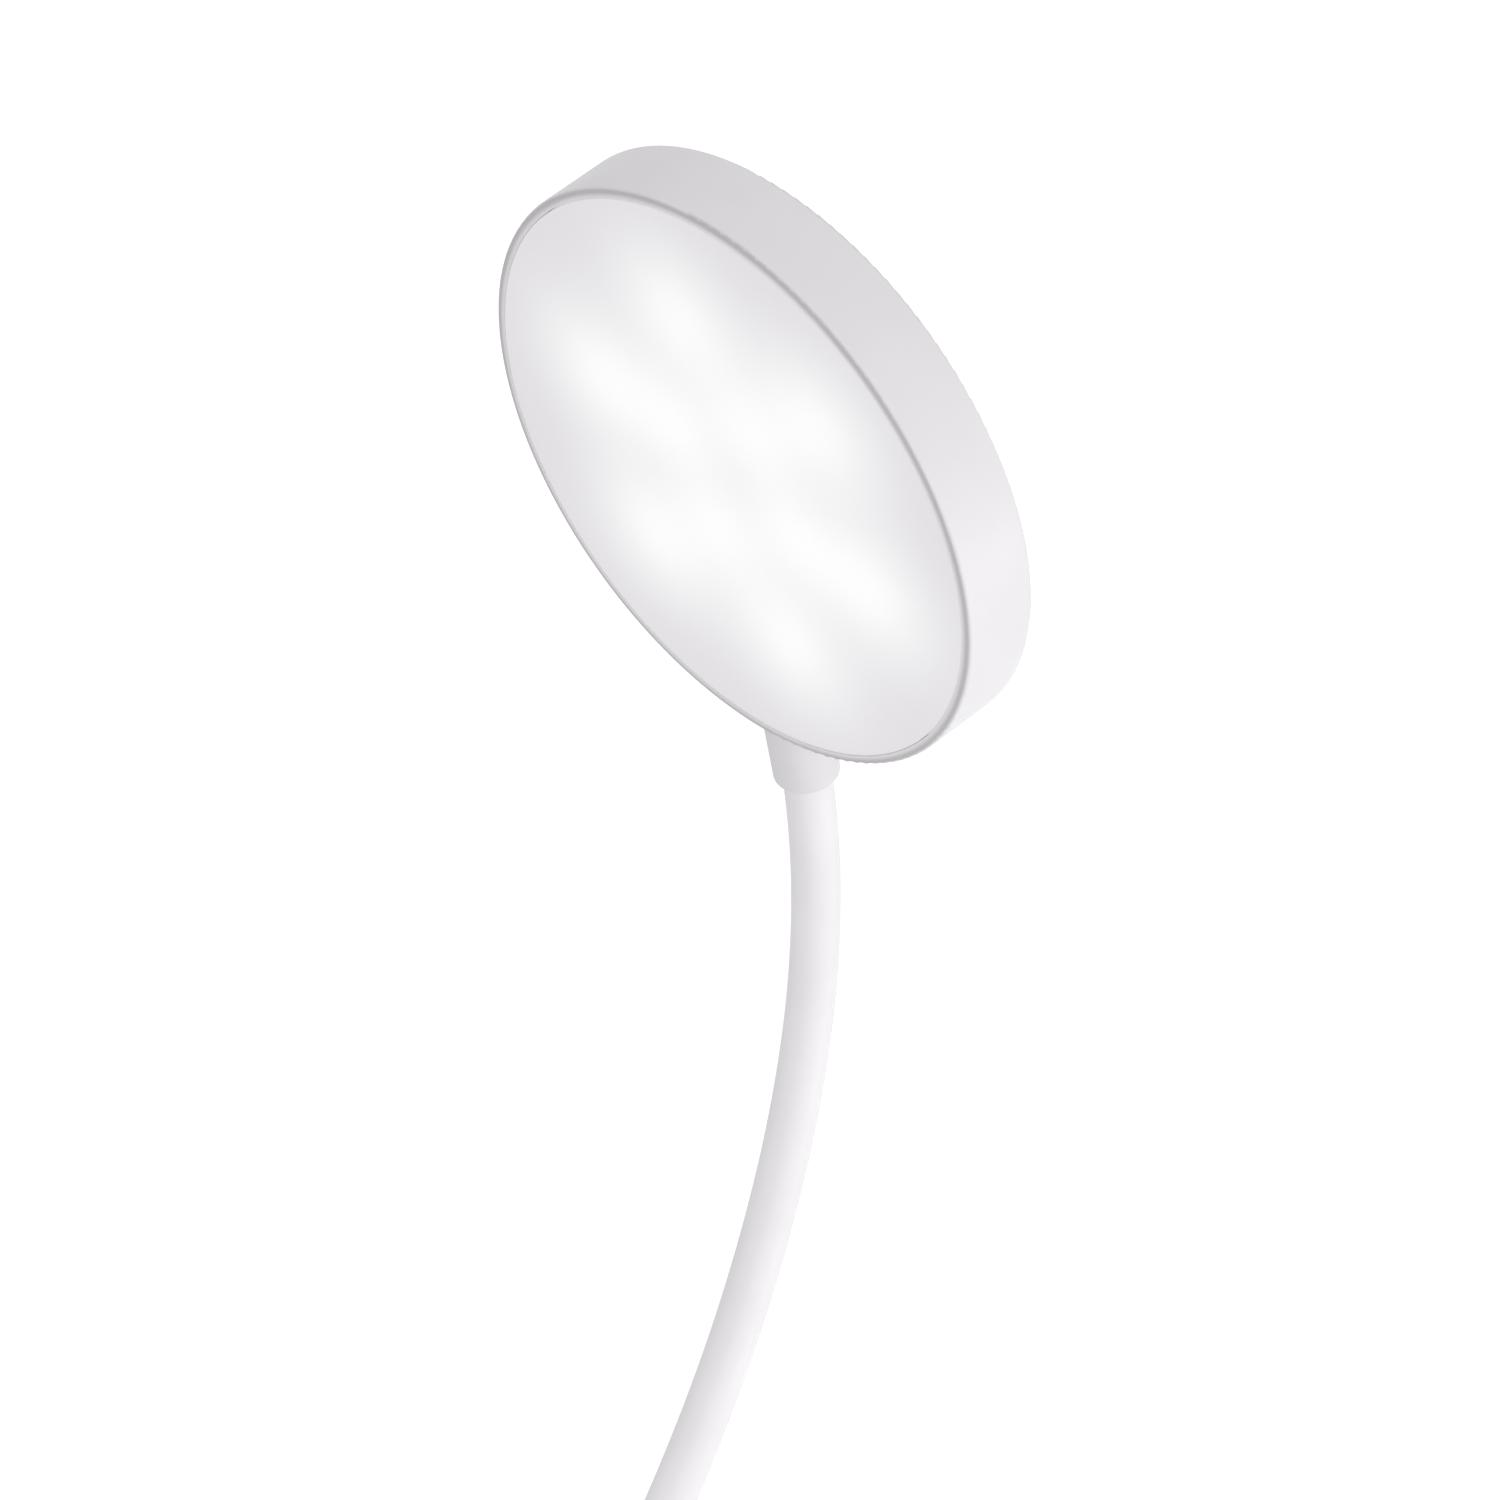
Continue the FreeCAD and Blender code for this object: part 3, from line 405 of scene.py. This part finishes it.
def rubber(name, colour):
    """Matt rubber with fine pores and a little dust."""
    finish = Finish(name)
    pores = finish.noise(0.25 * MM, detail=5.0)
    dust = finish.noise(9 * MM, detail=4.0)
    dusty = tuple(c * 1.7 + 0.01 for c in colour)
    finish.colour(colour, dusty, finish.contrast(dust, 0.45, 0.75))
    finish.roughness(0.72, 0.88, pores)
    return finish.bump(pores, 0.03 * MM)


def circuit_board(name, mask, copper):
    """Solder mask over tracks, which show as faintly raised bands."""
    finish = Finish(name)
    tracks = finish.nodes.new("ShaderNodeTexBrick")
    tracks.inputs["Scale"].default_value = 1.0 / (9 * MM)
    tracks.inputs["Mortar Size"].default_value = 0.035
    tracks.inputs["Color1"].default_value = (0, 0, 0, 1)
    tracks.inputs["Color2"].default_value = (0, 0, 0, 1)
    tracks.inputs["Mortar"].default_value = (1, 1, 1, 1)
    finish.links.new(finish.place, tracks.inputs["Vector"])
    finish.colour(mask, copper, finish.math("MULTIPLY", tracks.outputs["Fac"], 0.6))
    finish.roughness(0.28, 0.4, finish.noise(3 * MM))
    return finish.bump(tracks.outputs["Fac"], 0.03 * MM)


def phosphor():
    """Yellow phosphor gel of the light-emitting diodes, lit."""
    finish = Finish("diode_phosphor")
    cloud = finish.noise(0.8 * MM)
    finish.colour((0.85, 0.66, 0.2), (0.95, 0.83, 0.42), cloud)
    finish.roughness(0.2, 0.3, cloud)
    finish.plain(Emission_Color=(1.0, 0.96, 0.86, 1.0), Emission_Strength=1.5)
    return finish.bump(cloud, 0.01 * MM)


def sheath_plastic():
    """The arm's soft sheath: smooth, satin, with a faint drawn texture along its length."""
    finish = Finish("arm_sheath")
    slow = finish.noise(22 * MM, detail=2.0)
    fine = finish.noise(0.5 * MM, stretch=(1.0, 1.0, 0.3))
    finish.colour((0.815, 0.799, 0.821), (0.84, 0.824, 0.846), finish.contrast(slow))
    finish.roughness(0.36, 0.46, fine)
    finish.plain(Specular_IOR_Level=0.3)
    return finish.bump(fine, 0.002 * MM)


# one finish for each material slot of the frame
finishes = {
    "shell_white": moulded("shell_white", shell_white, shell_rough, drift=shell_drift),
    "opal": opal_glow(),
    "wound_steel": metal("wound_steel", (0.60, 0.60, 0.61), 0.34, grain=(1.0, 1.0, 8.0)),
    "turned_brass": metal("turned_brass", (0.78, 0.60, 0.30), 0.26),
    "bright_steel": metal("bright_steel", (0.47, 0.47, 0.48), 0.24),
    "sink_aluminium": metal(
        "cast_aluminium", (0.74, 0.75, 0.76), 0.48, grain=(1.0, 1.0, 1.0), relief=0.02 * MM
    ),
    "board_white": circuit_board("board_white", (0.82, 0.82, 0.78), (0.70, 0.70, 0.64)),
    "led_phosphor": phosphor(),
    "grip_rubber": rubber("grip_rubber", (0.035, 0.035, 0.038)),
    "clamp_paint": powder_coat("clamp_paint", (0.70, 0.69, 0.705)),
    "knob_grey": moulded("knob_grey", (0.075, 0.08, 0.09), 0.5, relief=0.02 * MM, drift=0.12),
    "button_grey": moulded("button_grey", (0.30, 0.33, 0.37), 0.55, relief=0.01 * MM, drift=0.06),
    "nylon": moulded("nylon", (0.74, 0.72, 0.66), 0.4, drift=0.05),
    "board_green": circuit_board("board_green", (0.012, 0.10, 0.045), (0.05, 0.22, 0.09)),
    "component_black": moulded(
        "component_black", (0.02, 0.02, 0.022), 0.38, relief=0.01 * MM, drift=0.2
    ),
    "lead_red": moulded("lead_red", (0.42, 0.02, 0.018), 0.4, drift=0.1),
    "sleeve_white": sheath_plastic(),
}


def dress_cad_nodes():
    """Gives every CAD node its slot's finish; the collars have their own, darkened as painted shade, and the
    head's shell its own, with painted shade on its rim.
    """
    slots = {part["node"]: part["material_slot"] for part in frame["record"]["subparts"]}
    # the collars' finish is the shell's white darkened as painted shade
    collar = moulded("collar_white", darker(shell_white, collar_painted_shade), collar_rough, drift=shell_drift)
    special = {"head_housing": shell_with_painted_rim_shade(), "head_collar": collar, "base_collar": collar}
    for node, piece in frame["nodes"].items():
        finish = special.get(node) or finishes[slots[node]]
        piece.data.materials.clear()
        piece.data.materials.append(finish.material)


# ---- the arm -----------------------------------------------------------------------------------


def add_object(name, data):
    thing = bpy.data.objects.new(name, data)
    bpy.context.scene.collection.objects.link(thing)
    return thing


def bend_ends(index):
    """Where a bend's pieces start and end: in the middle of the links about it, or at a collar's end."""
    bend = bend_points[index]
    below = foot_collar_end if index == 0 else (bend_points[index - 1] + bend) / 2
    above = head_collar_end if index == last_bend else (bend + bend_points[index + 1]) / 2
    return below, above


def arm_stations(index, step, into_foot, into_head):
    """Points and directions along the arm about one bend, curving from its lower to its upper end.

    The curve leaves and meets its ends along the links. At the first bend it starts lower by into_foot,
    and at the last it runs on by into_head, both straight.
    """
    bend = bend_points[index]
    below, above = bend_ends(index)
    low_way = (bend - below).normalized()
    high_way = (above - bend).normalized()
    stations = []
    if index == 0:
        rings = max(int(into_foot / step), 1)
        for i in range(rings):
            stations.append((below - low_way * into_foot * (1 - i / rings), low_way))
    rings = max(int(link_pitch / step), 2)
    edge = seam_ring / link_pitch
    for t in sorted({i / rings for i in range(rings + 1)} | {edge, 1 - edge}):
        point = below * (1 - t) ** 2 + bend * 2 * t * (1 - t) + above * t**2
        way = ((bend - below) * (1 - t) + (above - bend) * t).normalized()
        stations.append((point, way))
    if index == last_bend:
        rings = max(int(into_head / step), 1)
        for i in range(1, rings + 1):
            stations.append((above + high_way * into_head * i / rings, high_way))
    return stations


def tube(name, stations, radius, sides, bore=None, offset=0.0):
    """Tube along the stations. radius is a number, or a function of the ring's distance and angle."""
    mesh = bpy.data.meshes.new(name)
    shape = bmesh.new()
    across = Vector((1, 0, 0))

    def ring(point, way, distance, radius_at):
        out = way.cross(across)
        ring_vertices = []
        for i in range(sides):
            angle = 2 * math.pi * i / sides
            r = radius_at(distance, angle)
            place = point + across * (offset + r * math.cos(angle)) + out * r * math.sin(angle)
            ring_vertices.append(shape.verts.new(place))
        return ring_vertices

    def join(first, second):
        for i in range(sides):
            j = (i + 1) % sides
            shape.faces.new((first[i], first[j], second[j], second[i]))

    def skin(radius_at):
        rings = []
        distance = 0.0
        last = stations[0][0]
        for point, way in stations:
            distance += (point - last).length
            last = point
            rings.append(ring(point, way, distance, radius_at))
        for low, high in zip(rings, rings[1:]):
            join(low, high)
        return rings

    outer = skin(radius if callable(radius) else lambda distance, angle: radius)
    if bore:
        inner = skin(lambda distance, angle: bore)
        join(outer[0], inner[0])
        join(outer[-1], inner[-1])
    else:
        shape.faces.new(outer[0])
        shape.faces.new(outer[-1])
    bmesh.ops.recalc_face_normals(shape, faces=shape.faces)
    shape.to_mesh(mesh)
    shape.free()
    for face in mesh.polygons:
        face.use_smooth = True
    return add_object(name, mesh)


def sharpen(piece, degrees):
    """Keeps edges sharper than that angle crisp under smooth shading."""
    mesh = piece.data
    shape = bmesh.new()
    shape.from_mesh(mesh)
    limit = math.radians(degrees)
    for edge in shape.edges:
        edge.smooth = len(edge.link_faces) < 2 or edge.calc_face_angle(0.0) < limit
    shape.to_mesh(mesh)
    shape.free()


def wound_radius(start):
    """Radius of the wound steel hose: one V groove that runs round and along it as a screw."""

    def radius_at(distance, angle):
        turn = ((start + distance) / winding_pitch + angle / (2 * math.pi)) % 1.0
        return winding_r - groove_depth * max(0.0, 1.0 - abs(turn - 0.5) * groove_steepness)

    return radius_at


def base_wire_length():
    return foot_collar_end.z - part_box("base_lead")[0].z


def plug_middle():
    return head_centre + to_arm * plug_from_centre + face_normal * plug_forward


def head_wire_length():
    return (head_collar_end - plug_middle()).length - plug_half.y


def build_arm():
    """A sheath, a winding and two wires for each bend, blended from the link below it to the one above."""
    for i, name in enumerate(bend_names):
        number = name.split("_")[1]

        stations = arm_stations(i, sheath_step, sheath_in_collar, sheath_in_collar)
        sheath = tube("arm_sheath_" + number, stations, sheath_r, sheath_sides, bore=sheath_r - sheath_wall)
        sharpen(sheath, sheath_crease)

        # the groove goes on from one bend's winding to the next, counted from the foot fitting's inside
        groove_start = i * link_pitch + (0.0 if i == 0 else winding_in_fitting)
        stations = arm_stations(i, winding_step, winding_in_fitting, winding_in_fitting)
        winding = tube(
            "arm_winding_" + number, stations, wound_radius(groove_start), winding_sides, bore=winding_bore_r
        )
        sharpen(winding, winding_crease)

        stations = arm_stations(i, wire_step, base_wire_length(), head_wire_length())
        wires = [
            tube("arm_wire_%s_%s" % (number, side), stations, wire_r, wire_sides, offset=way * wire_offset)
            for side, way in (("left", -1), ("right", 1))
        ]

        links = ["00", number] if i == 0 else [number]
        for piece, kind, slot in (
            (sheath, "arm_sleeve_", "sleeve_white"),
            (winding, "arm_core_", "wound_steel"),
            (wires[0], "arm_core_", "lead_red"),
            (wires[1], "arm_core_", "lead_red"),
        ):
            piece.data.materials.append(finishes[slot].material)
            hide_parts(*[kind + link for link in links])
            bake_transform(piece)
        for wire in wires:
            if i == 0:
                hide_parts("base_lead")
            if i == last_bend:
                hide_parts("head_lead")


def build_lead_plug():
    """Small moulded connector with a raised latch and a rim round its mouth."""
    half = plug_half
    middle = plug_middle()
    shape = bmesh.new()

    def block(centre, size):
        for vertex in bmesh.ops.create_cube(shape, size=1.0)["verts"]:
            vertex.co = Vector([c * 2 * s + o for c, s, o in zip(vertex.co, size, centre)])

    block((0, 0, 0), half)
    latch_size = (half.x * 0.35, half.y * 0.4, latch_half_thickness)
    block((0, -half.y * 0.45, -half.z - latch_rise), latch_size)
    mouth_rim_size = (half.x + mouth_rim_proud, mouth_rim_half_width, half.z * 0.9)
    block((0, half.y - mouth_rim_back, 0), mouth_rim_size)
    bmesh.ops.bevel(shape, geom=list(shape.edges), offset=plug_edge, segments=2, affect="EDGES")
    for vertex in shape.verts:
        vertex.co = face_axes @ vertex.co + middle
    mesh = bpy.data.meshes.new("lead_plug")
    shape.to_mesh(mesh)
    shape.free()
    piece = add_object("lead_plug", mesh)
    mesh.materials.append(finishes["component_black"].material)
    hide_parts("head_lead")
    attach(piece, "head")


# ---- building the studio -----------------------------------------------------------------------


def seen_directly(tree):
    """1 for rays that show the background itself: from the camera, mirrored or through glass."""
    path = tree.nodes.new("ShaderNodeLightPath")
    total = path.outputs["Is Camera Ray"]
    for ray in ("Is Glossy Ray", "Is Transmission Ray"):
        add = tree.nodes.new("ShaderNodeMath")
        add.operation = "ADD"
        add.use_clamp = True
        tree.links.new(total, add.inputs[0])
        tree.links.new(path.outputs[ray], add.inputs[1])
        total = add.outputs[0]
    return total


def build_floor():
    """Pale floor that looks white and keeps the shadows on it."""
    floor_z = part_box("spindle_knob")[0].z - floor_gap
    places = [(x * floor_half, y * floor_half, floor_z) for x, y in ((-1, -1), (1, -1), (1, 1), (-1, 1))]
    mesh = bpy.data.meshes.new("floor")
    mesh.from_pydata(places, [], [(0, 1, 2, 3)])
    floor = add_object("floor", mesh)
    finish = Finish("floor_pale")
    finish.colour((0.79, 0.79, 0.79), (0.81, 0.81, 0.81), finish.noise(0.2))
    finish.plain(Roughness=0.9, Emission_Color=(1, 1, 1, 1))
    veil = finish.math("MULTIPLY", seen_directly(finish.material.node_tree), floor_veil)
    finish.links.new(veil, finish.shader.inputs["Emission Strength"])
    mesh.materials.append(finish.material)


def build_world():
    """Soft surroundings: white to look at, and lighting the lamp more from above than from below."""
    world = bpy.data.worlds.new("studio")
    world.use_nodes = True
    bpy.context.scene.world = world
    tree = world.node_tree
    place = tree.nodes.new("ShaderNodeTexCoord")
    upward = tree.nodes.new("ShaderNodeVectorMath")
    upward.operation = "DOT_PRODUCT"
    upward.inputs[1].default_value = straight_up
    tree.links.new(place.outputs["Generated"], upward.inputs[0])
    level = tree.nodes.new("ShaderNodeMapRange")
    level.interpolation_type = "SMOOTHSTEP"
    limits = {"From Min": -1.0, "From Max": 1.0, "To Min": 0.0, "To Max": world_from_above}
    for name, limit in limits.items():
        level.inputs[name].default_value = limit
    tree.links.new(upward.outputs["Value"], level.inputs["Value"])
    background = tree.nodes["Background"]
    background.inputs["Color"].default_value = (*light_tint, 1)
    tree.links.new(level.outputs["Result"], background.inputs["Strength"])
    white = tree.nodes.new("ShaderNodeBackground")
    white.inputs["Color"].default_value = (1, 1, 1, 1)
    white.inputs["Strength"].default_value = world_seen
    mix = tree.nodes.new("ShaderNodeMixShader")
    tree.links.new(seen_directly(tree), mix.inputs["Fac"])
    tree.links.new(background.outputs[0], mix.inputs[1])
    tree.links.new(white.outputs[0], mix.inputs[2])
    tree.links.new(mix.outputs[0], tree.nodes["World Output"].inputs["Surface"])


def area_light(name, at, towards, side, power):
    light = bpy.data.lights.new(name, "AREA")
    light.shape = "SQUARE"
    light.size = side
    light.energy = power
    lamp = add_object(name, light)
    lamp.location = at
    lamp.rotation_euler = (towards - at).to_track_quat("-Z", "Y").to_euler()


def build_camera():
    """Seen from the lamp's front right and above, with the head in the frame's upper half."""
    right = Vector((math.cos(camera_azimuth), math.sin(camera_azimuth), 0))
    view = Vector(
        (
            math.sin(camera_azimuth) * math.cos(camera_elevation),
            -math.cos(camera_azimuth) * math.cos(camera_elevation),
            math.sin(camera_elevation),
        )
    )
    up = view.cross(right)
    aim = face_centre + right * aim_right - up * aim_below
    data = bpy.data.cameras.new("camera")
    data.sensor_width = sensor_mm
    data.lens = lens_mm
    data.clip_end = camera_reach
    camera = add_object("camera", data)
    axes = Matrix((right, up, view)).transposed().to_4x4()
    camera.matrix_world = Matrix.Translation(aim + view * camera_distance) @ axes
    bpy.context.scene.camera = camera
    return right, view


def build_studio():
    """Camera, floor, surroundings and three lights placed about the camera's line of sight."""
    right, view = build_camera()
    build_floor()
    build_world()
    middle = head_centre - straight_up * lit_below_head
    key_at = middle + right * key_right + view * key_near - straight_up * key_drop
    fill_at = middle + view * fill_near - straight_up * fill_drop
    area_light("key", key_at, middle, key_side, key_power)
    area_light("fill", fill_at, middle, fill_side, fill_power)
    area_light("back", middle + back_way * back_distance, middle, back_side, back_power)
    scene = bpy.context.scene
    scene.view_settings.view_transform = "Standard"
    scene.view_settings.look = "None"


dress_cad_nodes()
build_arm()
build_lead_plug()
build_studio()
